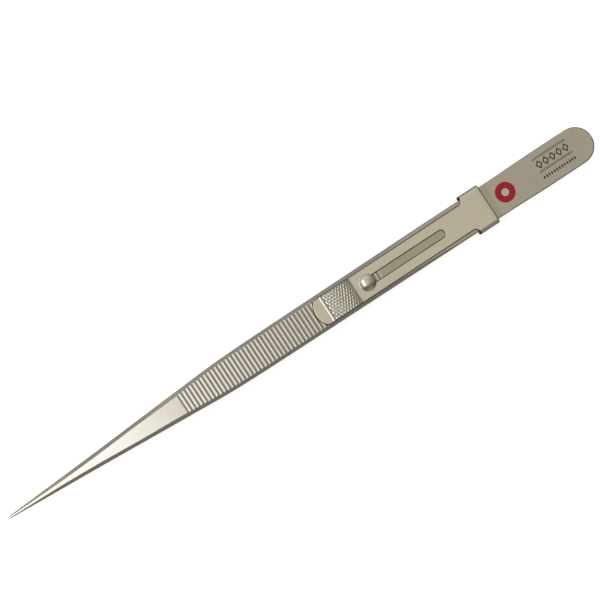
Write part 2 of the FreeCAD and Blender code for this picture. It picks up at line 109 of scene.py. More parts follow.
# the cross grooves
GROOVE_FIRST = 31.7
GROOVE_PITCH = 1.0154
GROOVE_COUNT = 54
GROOVE_CREST = 0.16
GROOVE_DEEP = 0.08
GROOVE_STEEP = 0.25
# faces of a cross-section from the middle line to the edge of the flat outer face
FLAT_FACES = 3

# the slide lock
SHEET = 0.5
PLAY = 0.03
PLATE_TOP = LEAF_THICK + PLAY + SHEET
SLIDE_REAR = 1.5
COLLAR_LENGTH = 5.2
PLATE_HALF = 3.4
NECK_RADIUS = 1.1
HUMP_REAR = 38.35
HUMP_LENGTH = 7.8
HUMP_HIGH = 1.4
HUMP_FILLET = 0.9
HUMP_ARC_SHARE = 0.92
LIP_LENGTH = 3.0
LIP_ROUND = 1.9
SLOT_HALF = 0.9
SLOT_TRAVEL = 20.3
COLLAR_HALF = 5.09
COLLAR_BEND = 1.0
COLLAR_FLOOR = -2.79
SEAM_HALF = 0.8
KNURL_PITCH = 0.66
KNURL_ANGLE = math.radians(29)
KNURL_DEEP = 0.13
KNURL_SHARPNESS = 2.5
KNURL_FADE_REAR = 0.5
KNURL_FADE_FRONT = 1.5
RIM_ROUND = 0.26
# width of the band along every edge of the sheet that takes the dark material: painted shade for the shadow
# line along the edges and round the slot, partly the sheared edge's own darker tone
EDGE_SHADE_WIDE = 0.21
RIM_STEPS = (0.0, 0.01, 0.035, 0.08, 0.14, 0.2, RIM_ROUND)

# the rivet, the emblem and the etched marks
RIVET = 34.95
DOME_RADIUS = 2.03
DOME_HIGH = 1.05
DOME_CROWN = 3.2
DOME_CROWN_SHARE = 0.88
SHANK_RADIUS = 0.75
PEEN_RADIUS = 1.2
PEEN_TOP = 0.45
PEEN_FLOOR = -0.08
PEEN_EDGE_HIGH = 0.06
PEEN_EDGE_WIDE = 0.1
BADGE = -3.25
BADGE_RADIUS = 2.4
BADGE_CENTRE = 0.9
BADGE_PROUD = 0.035
BADGE_FLOOR = -0.2
BADGE_PLAY = 0.02
MARK_REAR = -21.4
MARK_FRONT = -12.4
MARK_SUNK = 0.03
MARK_PROUD = 0.006
HAIRLINES = (-2.87, -2.57, 0.45, 0.75)
HAIRLINE_WIDE = 0.13
LOZENGE_COUNT = 5
LOZENGE_ROW = -1.05
LOZENGE_WIDE = 0.8
LOZENGE_TALL = 1.1
LOZENGE_LINE = 0.4
DOT_COUNT = 13
DOT_ROW = 2.15
DOT_WIDE = 0.26
DOT_TALL = 0.5

# the floor, and in metres the soft box (two corners of its rectangle) and the camera: width of the
# picture, its turn, and where it aims
FLOOR_HALF = 1500.0
SOFTBOX_LOW = (0.042, -0.2)
SOFTBOX_HIGH = (0.16, 0.055)
SOFTBOX_HEIGHT = 0.25
SOFTBOX_RADIANCE = 1.5
SOFTBOX_COLOUR = (0.98, 1.0, 1.04)
FRAME_WIDE = 0.1379
FRAME_TURN = math.radians(33.28)
AIM_HEIGHT = 0.007
AIM_RIGHT = -0.00018
AIM_UP = 0.00606


# ---------------------------------------------------------------- small helpers

def smooth_table(table, place):
    """Monotone cubic through a table of (place, value) pairs."""
    if place <= table[0][0]:
        return table[0][1]
    if place >= table[-1][0]:
        return table[-1][1]
    slopes = [(b[1] - a[1]) / (b[0] - a[0]) for a, b in zip(table, table[1:])]
    tangents = [slopes[0]]
    for before, after in zip(slopes, slopes[1:]):
        tangents.append(0.0 if before * after <= 0 else 2 * before * after / (before + after))
    tangents.append(slopes[-1])
    index = next(i for i in range(len(slopes)) if place <= table[i + 1][0])
    start, end = table[index], table[index + 1]
    span = end[0] - start[0]
    t = (place - start[0]) / span
    return (start[1] * (1 + 2 * t) * (1 - t) ** 2 + tangents[index] * span * t * (1 - t) ** 2
            + end[1] * t * t * (3 - 2 * t) + tangents[index + 1] * span * t * t * (t - 1))


def ease(t):
    """Smooth step from 0 to 1 as t goes from 0 to 1."""
    t = max(0.0, min(1.0, t))
    return t * t * (3 - 2 * t)


def steps(start, end, count):
    """count + 1 even places from start to end."""
    return [start + (end - start) * i / count for i in range(count + 1)]


def finish_mesh(name, bm, matrix, sharp_deg):
    """Turn a bmesh in millimetres into an object in the row frame."""
    bmesh.ops.remove_doubles(bm, verts=bm.verts, dist=1e-5)
    bmesh.ops.dissolve_degenerate(bm, edges=bm.edges, dist=1e-6)
    bmesh.ops.recalc_face_normals(bm, faces=bm.faces)
    mesh = bpy.data.meshes.new(name)
    bm.to_mesh(mesh)
    bm.free()
    mesh.transform(matrix)
    for polygon in mesh.polygons:
        polygon.use_smooth = True
    mesh.set_sharp_from_angle(angle=math.radians(sharp_deg))
    obj = bpy.data.objects.new(name, mesh)
    bpy.context.scene.collection.objects.link(obj)
    return obj


def loft(bm, rings):
    """Skin closed rings of points, cap both ends, and give back the faces between each two rings."""
    made = [[bm.verts.new(point) for point in ring] for ring in rings]
    count = len(rings[0])
    rows = []
    for ring, following in zip(made, made[1:]):
        row = []
        for i in range(count):
            j = (i + 1) % count
            row.append(bm.faces.new((ring[i], ring[j], following[j], following[i])))
        rows.append(row)
    bm.faces.new(made[0])
    bm.faces.new(made[-1])
    return rows


def leaf_frames(frame):
    """Matrices from the straight leaf frame to the row frame, and the angle between arm and tail."""
    joints = {joint["name"]: joint for joint in frame["joints"]}
    hinge = Vector(joints["upper_arm_flex"]["pos_m"])
    slide_axis = Vector(joints["slide_travel"]["axis"])
    tail_normal = -Vector(frame["record"]["mounts"][0]["axis"])
    tilt = math.atan2(-tail_normal.x, tail_normal.z)
    spread = math.atan2(slide_axis.z, slide_axis.x) - tilt
    upper = Matrix.Translation(hinge) @ Matrix.Rotation(-tilt, 4, "Y") @ Matrix.Scale(MM, 4)
    return upper, upper @ Matrix.Rotation(math.pi, 4, "X"), spread


# ---------------------------------------------------------------- leaves

def half_width(x):
    """Half width of a leaf, with its round tail end."""
    in_from_end = x - TAIL_END
    if in_from_end < TAIL_RADIUS:
        return math.sqrt(max(TAIL_RADIUS ** 2 - (TAIL_RADIUS - in_from_end) ** 2, 0.0))
    return smooth_table(HALF_WIDTHS, TIP - x)


def flat_half(x):
    """Half width of the flat outer face: the outline less the softened edge or the bevel."""
    in_from_end = x - TAIL_END
    if in_from_end < TAIL_RADIUS:
        radius = TAIL_RADIUS - EDGE
        return math.sqrt(max(radius ** 2 - (TAIL_RADIUS - in_from_end) ** 2, 0.0))
    return smooth_table(FLAT_HALVES, TIP - x)


def pad_plane(x):
    """Height of the plane on which the two tips close."""
    return TIP_GAP - x * math.tan(CLOSED_ANGLE)


def outer_height(x):
    """Height of the outer face: level to the bend, then falling to the tip."""
    if x <= BELLY:
        return LEAF_THICK
    tip_top = pad_plane(TIP) + TIP_THICK
    return LEAF_THICK + (tip_top - LEAF_THICK) * (x - BELLY) / (TIP - BELLY)


def inner_height(x):
    """Height of the inner face, lower along the grip, where the leaf is thicker."""
    if x <= GRIP_THICK_END:
        return MEET_GAP - GRIP_EXTRA * max(0.0, (x - GRIP_THICK_START) / (GRIP_THICK_END - GRIP_THICK_START))
    if x <= BELLY:
        return MEET_GAP - GRIP_EXTRA
    if x <= PAD:
        return -GRIP_EXTRA + (pad_plane(PAD) + GRIP_EXTRA) * (x - BELLY) / (PAD - BELLY)
    return pad_plane(x)


def groove_depth(x):
    """Depth of the row of cross grooves: a steep wall on the tip side, then a curved rise to the crest."""
    half = (GROOVE_PITCH - GROOVE_CREST) / 2
    number = round((x - GROOVE_FIRST) / GROOVE_PITCH)
    number = max(0, min(GROOVE_COUNT - 1, number))
    aside = x - GROOVE_FIRST - number * GROOVE_PITCH
    if abs(aside) >= half:
        return 0.0
    if aside > half - GROOVE_STEEP:
        return GROOVE_DEEP * (half - aside) / GROOVE_STEEP
    rise = 2 * half - GROOVE_STEEP
    radius = (rise ** 2 + GROOVE_DEEP ** 2) / (2 * GROOVE_DEEP)
    return GROOVE_DEEP - radius + math.sqrt(radius ** 2 - (half - GROOVE_STEEP - aside) ** 2)


def leaf_places():
    """The x of every cross-section, closest together in the round end and across each groove."""
    places = [TAIL_END + TAIL_RADIUS * (1 - math.cos(math.radians(a))) for a in range(3, 90, 6)]
    places += steps(TAIL_END + TAIL_RADIUS, -BEND_REACH, 14)
    places += steps(-BEND_REACH, BEND_REACH, 8)[1:]
    places += steps(BEND_REACH, GROOVE_FIRST - GROOVE_PITCH / 2, 22)[1:]
    half = (GROOVE_PITCH - GROOVE_CREST) / 2
    for number in range(GROOVE_COUNT):
        centre = GROOVE_FIRST + number * GROOVE_PITCH
        places += steps(centre - half, centre + half - GROOVE_STEEP, 9)
        places.append(centre + half)
    places.append(BELLY)
    places += steps(BELLY + half, PAD, 40)
    places += steps(PAD, TIP, 18)[1:]
    return sorted(places)


def leaf_ring(x, spread):
    """One cross-section of a leaf, bent up by the spread past the flexure."""
    half = half_width(x)
    flat = min(flat_half(x), half * 0.97)
    top = outer_height(x)
    floor = inner_height(x)
    bevel = smooth_table(BEVEL_DEPTHS, TIP - x)
    low = INNER_EDGE * min(1.0, half)
    ground = ease((x - ROUND_EDGE_END) / (GROOVE_FIRST - ROUND_EDGE_END))
    side = [(0.0, top), (flat * 0.5, top), (flat * 0.96, top)]
    for share in (0.0, 0.06, 0.13, 0.22, 0.36, 0.5, 0.66, 0.8, 0.91, 0.97, 1.0):
        rounded = 1 - math.sqrt(1 - share ** 2)
        side.append((flat + (half - flat) * share, top - bevel * (ground * share + (1 - ground) * rounded)))
    side += [(half, floor + low), (half - low * 0.3, floor + low * 0.3), (half - low, floor)]
    side += [(half * 0.5, floor), (0.0, floor)]
    cut = top - groove_depth(x)
    side = [(y, min(z, cut)) for y, z in side]
    ring = side + [(-y, z) for y, z in reversed(side[1:-1])]
    turn = spread * ease((x + BEND_REACH) / (2 * BEND_REACH))
    cosine, sine = math.cos(turn), math.sin(turn)
    return [(x * cosine - z * sine, y, x * sine + z * cosine) for y, z in ring]


def make_leaf(side, matrix, spread):
    """The upper or the lower leaf, drawn as the one unbroken strip that it is."""
    places = leaf_places()
    row_start = GROOVE_FIRST - GROOVE_PITCH / 2
    row_end = row_start + GROOVE_COUNT * GROOVE_PITCH
    bm = bmesh.new()
    rows = loft(bm, [leaf_ring(x, spread) for x in places])
    for x, row in zip(places, rows):
        # the flat face along the grooved row takes the second material: a darker copy of the leaf steel,
        # painted shade over the ribs
        if row_start < x < row_end:
            for face in row[:FLAT_FACES] + row[-FLAT_FACES:]:
                face.material_index = 1
    leaf = finish_mesh(f"{side}_leaf_strip", bm, matrix, 15)
    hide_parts(f"{side}_tail", f"{side}_arm", f"{side}_nose")
    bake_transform(leaf)
    return leaf


# ---------------------------------------------------------------- slide lock

def across_collar(along, inset):
    """Point (y, z) on the sheet's section through the ears, along its outer side from the middle."""
    turn = COLLAR_HALF - COLLAR_BEND
    bottom = COLLAR_FLOOR - SHEET
    high = PLATE_TOP - COLLAR_BEND
    low = bottom + COLLAR_BEND
    quarter = COLLAR_BEND * math.pi / 2
    radius = COLLAR_BEND - inset
    if along <= turn:
        return along, PLATE_TOP - inset
    along -= turn
    if along <= quarter:
        angle = along / COLLAR_BEND
        return turn + radius * math.sin(angle), high + radius * math.cos(angle)
    along -= quarter
    if along <= high - low:
        return COLLAR_HALF - inset, high - along
    along -= high - low
    if along <= quarter:
        angle = along / COLLAR_BEND
        return turn + radius * math.cos(angle), low - radius * math.sin(angle)
    return turn - (along - quarter), bottom + inset


def collar_reach():
    """Length of the sheet from the middle of the plate to the end of a folded ear."""
    turn = COLLAR_HALF - COLLAR_BEND
    wall = PLATE_TOP - COLLAR_FLOOR + SHEET - 2 * COLLAR_BEND
    return turn + COLLAR_BEND * math.pi + wall + turn - SEAM_HALF


def hump_shape():
    """The hump's outside arc and its feet: radius, height of its centre, angle and run to the foot."""
    half = HUMP_LENGTH / 2
    radius = (half ** 2 + HUMP_HIGH ** 2) / (2 * HUMP_HIGH)
    centre_z = PLATE_TOP + HUMP_HIGH - radius
    foot_angle = math.acos((PLATE_TOP + HUMP_FILLET - centre_z) / (radius + HUMP_FILLET))
    return radius, centre_z, foot_angle, (radius + HUMP_FILLET) * math.sin(foot_angle)


def hump_point(share):
    """Run from the hump's middle, height and angle at a share, -1 to 1, of the way over the hump."""
    radius, centre_z, foot_angle, foot_run = hump_shape()
    if abs(share) <= HUMP_ARC_SHARE:
        angle = foot_angle * share / HUMP_ARC_SHARE
        return radius * math.sin(angle), centre_z + radius * math.cos(angle), angle
    tilt = foot_angle * (1 - abs(share)) / (1 - HUMP_ARC_SHARE)
    run = foot_run - HUMP_FILLET * math.sin(tilt)
    height = PLATE_TOP + HUMP_FILLET * (1 - math.cos(tilt))
    return math.copysign(run, share), height, math.copysign(foot_angle, share)


def knurl_depth(along, aside, length):
    """Depth below the crests of a net of two families of ridges, fading out at the ends of the hump."""
    crests = []
    for sign in (1, -1):
        phase = (along * math.cos(KNURL_ANGLE) + sign * aside * math.sin(KNURL_ANGLE)) / KNURL_PITCH
        crests.append((0.5 + 0.5 * math.cos(2 * math.pi * phase)) ** KNURL_SHARPNESS)
    fade = min(1.0, along / KNURL_FADE_REAR, (length - along) / KNURL_FADE_FRONT)
    return KNURL_DEEP * (1 - max(crests)) * max(0.0, fade)


def slot_half(x):
    """Half width of the guide slot at x, nothing outside it."""
    past = max(RIVET - SLOT_TRAVEL - x, x - RIVET, 0.0)
    return math.sqrt(max(SLOT_HALF ** 2 - past ** 2, 0.0))


def sheet_half(x):
    """Half width of the sheet at x in front of the ears: flared neck, plate and half-moon lip."""
    neck_end = SLIDE_REAR + COLLAR_LENGTH + NECK_RADIUS
    if x < neck_end:
        return PLATE_HALF + NECK_RADIUS - math.sqrt(max(NECK_RADIUS ** 2 - (neck_end - x) ** 2, 0.0))
    past = x - (HUMP_REAR + HUMP_LENGTH + LIP_LENGTH - LIP_ROUND)
    return PLATE_HALF * math.sqrt(max(1 - max(past / LIP_ROUND, 0.0) ** 2, 0.0))


def rim_distance(x, aside):
    """Distance of a place on the flat sheet from its nearest edge."""
    neck = SLIDE_REAR + COLLAR_LENGTH
    past_slot = max(RIVET - SLOT_TRAVEL - x, x - RIVET, 0.0)
    distances = [x - SLIDE_REAR, collar_reach() - aside, math.hypot(past_slot, aside) - SLOT_HALF]
    if aside >= PLATE_HALF + NECK_RADIUS:
        distances.append(neck - x)
    elif x >= neck + NECK_RADIUS:
        distances.append(PLATE_HALF - aside)
        past = x - (HUMP_REAR + HUMP_LENGTH + LIP_LENGTH - LIP_ROUND)
        if past > 0:
            reach = math.hypot(past / LIP_ROUND, aside / PLATE_HALF)
            slope = math.hypot(past / LIP_ROUND ** 2, aside / PLATE_HALF ** 2)
            distances.append((1 - reach) * reach / slope)
    else:
        corner = neck + NECK_RADIUS - x, PLATE_HALF + NECK_RADIUS - aside
        distances.append(math.hypot(*corner) - NECK_RADIUS)
    return max(min(distances), 0.0)


def slide_rows():
    """Rows of the sheet from the rear edge to the lip: (outer x, outer z, inner x, inner z, hump angle)."""
    under = PLATE_TOP - SHEET
    slot_rear = RIVET - SLOT_TRAVEL
    neck = SLIDE_REAR + COLLAR_LENGTH
    sweep = [1 - math.cos(math.radians(a)) for a in range(0, 91, 9)]
    places = [SLIDE_REAR + step for step in RIM_STEPS]
    places += steps(SLIDE_REAR + RIM_ROUND, neck - RIM_ROUND, 6)[1:-1]
    places += [neck - step for step in reversed(RIM_STEPS)]
    places += [neck + NECK_RADIUS * share for share in sweep[1:]]
    places += steps(neck + NECK_RADIUS, slot_rear - SLOT_HALF - RIM_ROUND, 4)[1:-1]
    places += [slot_rear - SLOT_HALF - step for step in reversed(RIM_STEPS)]
    places += [slot_rear - SLOT_HALF + SLOT_HALF * share for share in sweep[1:]]
    places += steps(slot_rear, RIVET, 20)[1:]
    places += [RIVET + SLOT_HALF - SLOT_HALF * share for share in reversed(sweep[:-1])]
    places += [RIVET + SLOT_HALF + step for step in RIM_STEPS[1:]]
    radius, centre_z, _, foot_run = hump_shape()
    middle = HUMP_REAR + HUMP_LENGTH / 2
    places += steps(RIVET + SLOT_HALF + RIM_ROUND, middle - foot_run, 4)[1:-1]
    rows = [(x, PLATE_TOP, x, under, None) for x in places]
    inner_radius = radius - SHEET
    inner_reach = math.acos((under - centre_z) / inner_radius)
    for share in steps(-1, 1, 170):
        run, height, angle = hump_point(share)
        inner = inner_reach * share
        rows.append((middle + run, height, middle + inner_radius * math.sin(inner),
                     centre_z + inner_radius * math.cos(inner), angle))
    lip_side = HUMP_REAR + HUMP_LENGTH + LIP_LENGTH - LIP_ROUND
    places = steps(middle + foot_run, lip_side, 4)[1:]
    places += [lip_side + LIP_ROUND * math.sin(math.radians(a)) for a in range(6, 91, 6)]
    return rows + [(x, PLATE_TOP, x, under, None) for x in places]


def across(inner, outer):
    """Places across the sheet from its inner to its outer edge, closest together at both."""
    shrink = min(1.0, (outer - inner) / 1.0)
    left = [inner + step * shrink for step in RIM_STEPS]
    right = [outer - step * shrink for step in reversed(RIM_STEPS)]
    return left + steps(left[-1], right[0], 44)[1:-1] + right


def slide_quads(rows):
    """The flat pattern's quads. A corner is (row number, distance from the middle line, signed)."""
    neck = SLIDE_REAR + COLLAR_LENGTH
    ear_root = PLATE_HALF + NECK_RADIUS
    ear = steps(ear_root, collar_reach() - RIM_ROUND, 30)[1:]
    ear += [collar_reach() - step for step in reversed(RIM_STEPS[:-1])]
    quads = []
    for number in range(len(rows) - 1):
        in_collar = rows[number + 1][0] < neck + 1e-6
        lines = []
        for row in (number, number + 1):
            x = rows[row][0]
            line = across(slot_half(x), ear_root if x < neck + 1e-6 else sheet_half(x))
            lines.append(line + ear if in_collar else line)
        for sign in (1, -1):
            first, second = [[(row, sign * round(place, 6) + 0.0) for place in line]
                             for row, line in zip((number, number + 1), lines)]
            for i in range(len(first) - 1):
                quads.append((first[i], first[i + 1], second[i + 1], second[i]))
    return quads


def slide_point(row, aside, inset):
    """A place of the flat pattern, folded and arched, at a depth below the outside of the sheet."""
    x, z, inner_x, inner_z, angle = row
    if angle is None:
        y, height = across_collar(abs(aside), inset)
        return x, math.copysign(y, aside), height
    share = inset / SHEET
    return x + (inner_x - x) * share, aside, z + (inner_z - z) * share


def make_slide(matrix):
    """One sheet: slotted plate, wrapped ears, knurled thumb hump and front lip."""
    rows = slide_rows()
    radius, _, reach, _ = hump_shape()
    bm = bmesh.new()
    outside, inside, rim_places = {}, {}, {}

    def vertices(corner):
        """The vertices on the outside and the inside of the sheet at a corner of the flat pattern."""
        if corner not in outside:
            row, aside = rows[corner[0]], corner[1]
            rim = rim_distance(row[0], abs(aside)) if row[4] is None else PLATE_HALF - abs(aside)
            short = max(RIM_ROUND - rim, 0.0)
            drop = RIM_ROUND - math.sqrt(RIM_ROUND ** 2 - short ** 2)
            deep = 0.0
            if row[4] is not None:
                deep = knurl_depth((row[4] + reach) * radius, aside, 2 * reach * radius)
            outside[corner] = bm.verts.new(slide_point(row, aside, max(drop, deep)))
            inside[corner] = bm.verts.new(slide_point(row, aside, SHEET - drop * 0.3))
            rim_places[corner] = rim
        return outside[corner], inside[corner]

    uses = {}
    for quad in slide_quads(rows):
        corners = [corner for i, corner in enumerate(quad) if corner != quad[i - 1]]
        if len(set(corners)) < 3:
            continue
        pairs = [vertices(corner) for corner in corners]
        face = bm.faces.new([pair[0] for pair in pairs])
        # faces inside the edge band take the dark material: painted shade along the sheet's edges and inside
        # the slot
        face.material_index = int(max(rim_places[corner] for corner in corners) < EDGE_SHADE_WIDE)
        bm.faces.new([pair[1] for pair in reversed(pairs)])
        for a, b in zip(corners, corners[1:] + corners[:1]):
            uses.setdefault(frozenset((a, b)), []).append((a, b))
    for sides in uses.values():
        if len(sides) == 1:
            a, b = sides[0]
            wall = bm.faces.new((outside[b], outside[a], inside[a], inside[b]))
            # the cut walls take the same dark material: sheared metal tone plus painted shade
            wall.material_index = 1
    slide = finish_mesh("slide_lock_sheet", bm, matrix, 35)
    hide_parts("slide_lock")
    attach(slide, "slide")
    return slide


# ---------------------------------------------------------------- rivet, emblem, etched marks

def turned(name, profile, matrix, segments=72, sharp_deg=30):
    """A solid turned about z from (radius, height) pairs that start and end on the axis."""
    bm = bmesh.new()
    last = None
    for step in range(segments):
        angle = 2 * math.pi * step / segments
        line = [bm.verts.new((r * math.cos(angle), r * math.sin(angle), z)) for r, z in profile]
        if last:
            for i in range(len(profile) - 1):
                bm.faces.new((last[i], line[i], line[i + 1], last[i + 1]))
        else:
            first = line
        last = line
    for i in range(len(profile) - 1):
        bm.faces.new((last[i], first[i], first[i + 1], last[i + 1]))
    return finish_mesh(name, bm, matrix, sharp_deg)


def make_rivet(matrix):
    """Polished dome head on a shoulder in the slot, with a peened end inside the leaf."""
    base = PLATE_TOP + PLAY
    crown_reach = DOME_RADIUS * DOME_CROWN_SHARE
    dome = []
    for share in steps(0, 1, 14):
        radius = crown_reach * share
        dome.append((radius, base + DOME_HIGH - DOME_CROWN + math.sqrt(DOME_CROWN ** 2 - radius ** 2)))
    shoulder_high = dome[-1][1] - base
    start = math.asin(crown_reach / DOME_CROWN)
    for share in steps(0, 1, 14)[1:]:
        angle = start + (math.pi / 2 - start) * share
        out = (math.sin(angle) - math.sin(start)) / (1 - math.sin(start))
        down = (math.cos(start) - math.cos(angle)) / math.cos(start)
        dome.append((crown_reach + (DOME_RADIUS - crown_reach) * out, base + shoulder_high * (1 - down)))
    shoulder = SLOT_HALF - PLAY
    profile = dome + [(shoulder, base), (shoulder, LEAF_THICK), (SHANK_RADIUS, LEAF_THICK),
                      (SHANK_RADIUS, PEEN_TOP), (PEEN_RADIUS, PEEN_TOP),
                      (PEEN_RADIUS, PEEN_FLOOR + PEEN_EDGE_HIGH),
                      (PEEN_RADIUS - PEEN_EDGE_WIDE, PEEN_FLOOR), (0.0, PEEN_FLOOR)]
    rivet = turned("guide_rivet_dome", profile, matrix @ Matrix.Translation((RIVET, 0, 0)))
    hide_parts("guide_rivet")
    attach(rivet, "upper_leaf")
    return rivet


def make_badge(matrix):
    """Round emblem: a softly domed red enamel ring with a pale enamel centre."""
    place = matrix @ Matrix.Translation((BADGE, 0, LEAF_THICK))
    ring = [(BADGE_CENTRE, BADGE_FLOOR), (BADGE_CENTRE, BADGE_PROUD * 0.3)]
    for share in steps(0, 1, 8):
        radius = BADGE_CENTRE + (BADGE_RADIUS - BADGE_CENTRE) * share
        ring.append((radius, BADGE_PROUD * (0.4 + 0.6 * math.sin(math.pi * share))))
    ring += [(BADGE_RADIUS, BADGE_FLOOR), (BADGE_CENTRE, BADGE_FLOOR)]
    enamel = turned("emblem_enamel", ring, place)
    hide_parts("badge_enamel")
    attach(enamel, "tail")
    rim = BADGE_CENTRE - BADGE_PLAY
    dot = [(0.0, BADGE_PROUD * 1.3), (BADGE_CENTRE * 0.6, BADGE_PROUD * 1.1), (rim, BADGE_PROUD * 0.5),
           (rim, BADGE_FLOOR), (0.0, BADGE_FLOOR)]
    centre = turned("emblem_centre", dot, place)
    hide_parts("badge_centre")
    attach(centre, "tail")
    return enamel, centre


def make_marks(matrix):
    """Generic etched ornament: hairline pairs, a row of open lozenges and a row of small solid ones."""
    bm = bmesh.new()
    low, high = LEAF_THICK - MARK_SUNK, LEAF_THICK + MARK_PROUD

    def plate(corners):
        bottom = [bm.verts.new((x, y, low)) for x, y in corners]
        top = [bm.verts.new((x, y, high)) for x, y in corners]
        bm.faces.new(top)
        bm.faces.new(bottom[::-1])
        for i in range(len(corners)):
            j = (i + 1) % len(corners)
            bm.faces.new((bottom[i], bottom[j], top[j], top[i]))

    def row_places(count):
        return [MARK_REAR + (MARK_FRONT - MARK_REAR) * (number + 0.5) / count for number in range(count)]

    def bar(x0, x1, y, wide):
        plate(((x0, y - wide / 2), (x1, y - wide / 2), (x1, y + wide / 2), (x0, y + wide / 2)))

    def lozenge(x, y, wide, tall, line):
        """An open lozenge, drawn as four sloping strokes."""
        inner_wide = wide - line * math.hypot(wide, tall) / tall / 1.4
        inner_tall = inner_wide * tall / wide
        for side_x in (1, -1):
            for side_y in (1, -1):
                stroke = [(x + side_x * wide, y), (x, y + side_y * tall),
                          (x, y + side_y * inner_tall), (x + side_x * inner_wide, y)]
                plate(stroke if side_x * side_y > 0 else stroke[::-1])

    for y in HAIRLINES:
        bar(MARK_REAR, MARK_FRONT, y, HAIRLINE_WIDE)
    for x in row_places(LOZENGE_COUNT):
        lozenge(x, LOZENGE_ROW, LOZENGE_WIDE, LOZENGE_TALL, LOZENGE_LINE)
    for x in row_places(DOT_COUNT):
        plate(((x - DOT_WIDE, DOT_ROW), (x, DOT_ROW - DOT_TALL),
               (x + DOT_WIDE, DOT_ROW), (x, DOT_ROW + DOT_TALL)))
    marks = finish_mesh("etched_ornament", bm, matrix, 30)
    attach(marks, "tail")
    return marks


# ---------------------------------------------------------------- materials

def new_material(name):
    material = bpy.data.materials.new(name)
    material.use_nodes = True
    tree = material.node_tree
    shader = tree.nodes["Principled BSDF"]
    return material, tree, shader


def noise(tree, scale, detail, stretch):
    """A noise value over the object, stretched by a scale along x, y and z."""
    place = tree.nodes.new("ShaderNodeTexCoord")
    mapping = tree.nodes.new("ShaderNodeMapping")
    mapping.inputs["Scale"].default_value = stretch
    texture = tree.nodes.new("ShaderNodeTexNoise")
    texture.inputs["Scale"].default_value = scale
    texture.inputs["Detail"].default_value = detail
    tree.links.new(place.outputs["Object"], mapping.inputs["Vector"])
    tree.links.new(mapping.outputs["Vector"], texture.inputs["Vector"])
    return texture.outputs["Fac"]


def to_range(tree, value, low, high):
    """The middle of a noise value's range, stretched to low and high."""
    node = tree.nodes.new("ShaderNodeMapRange")
    node.inputs["From Min"].default_value = 0.3
    node.inputs["From Max"].default_value = 0.7
    node.inputs["To Min"].default_value = low
    node.inputs["To Max"].default_value = high
    tree.links.new(value, node.inputs["Value"])
    return node.outputs["Result"]


def tint_between(tree, dark, light):
    """A mix of two colours; what drives it is linked to its Factor."""
    tint = tree.nodes.new("ShaderNodeMix")
    tint.data_type = "RGBA"
    tint.inputs["A"].default_value = (*dark, 1)
    tint.inputs["B"].default_value = (*light, 1)
    return tint


def steel(name, dark, light, rough, grain, bump):
    """Ground steel: a fine grain, soft clouding, and a roughness that follows the grain."""
    material, tree, shader = new_material(name)
    lines = noise(tree, 1.0, 3.0, grain)
    cloud = noise(tree, 260.0, 3.0, (1, 1, 1))
    tint = tint_between(tree, dark, light)
    both = tree.nodes.new("ShaderNodeMath")
    both.operation = "ADD"
    tree.links.new(to_range(tree, lines, 0.0, 0.6), both.inputs[0])
    tree.links.new(to_range(tree, cloud, 0.0, 0.4), both.inputs[1])
    tree.links.new(both.outputs[0], tint.inputs["Factor"])
    tree.links.new(tint.outputs["Result"], shader.inputs["Base Color"])
    tree.links.new(to_range(tree, lines, rough - 0.04, rough + 0.04), shader.inputs["Roughness"])
    relief = tree.nodes.new("ShaderNodeBump")
    relief.inputs["Strength"].default_value = bump
    relief.inputs["Distance"].default_value = 0.00001
    tree.links.new(lines, relief.inputs["Height"])
    tree.links.new(relief.outputs["Normal"], shader.inputs["Normal"])
    shader.inputs["Metallic"].default_value = 1.0
    return material


def enamel(name, dark, light, rough):
    """Fired enamel: slight clouding under a glossy coat."""
    material, tree, shader = new_material(name)
    cloud = noise(tree, 900.0, 4.0, (1, 1, 1))
    tint = tint_between(tree, dark, light)
    tree.links.new(to_range(tree, cloud, 0.0, 1.0), tint.inputs["Factor"])
    tree.links.new(tint.outputs["Result"], shader.inputs["Base Color"])
    tree.links.new(to_range(tree, cloud, rough - 0.04, rough + 0.06), shader.inputs["Roughness"])
    shader.inputs["Coat Weight"].default_value = 0.15
    shader.inputs["Specular IOR Level"].default_value = 0.3
    return material


def paint(obj, *materials):
    """Fill the object's material slots, keeping each face's slot number."""
    slots = obj.data.materials
    for index, material in enumerate(materials):
        if index < len(slots):
            slots[index] = material
        else:
            slots.append(material)


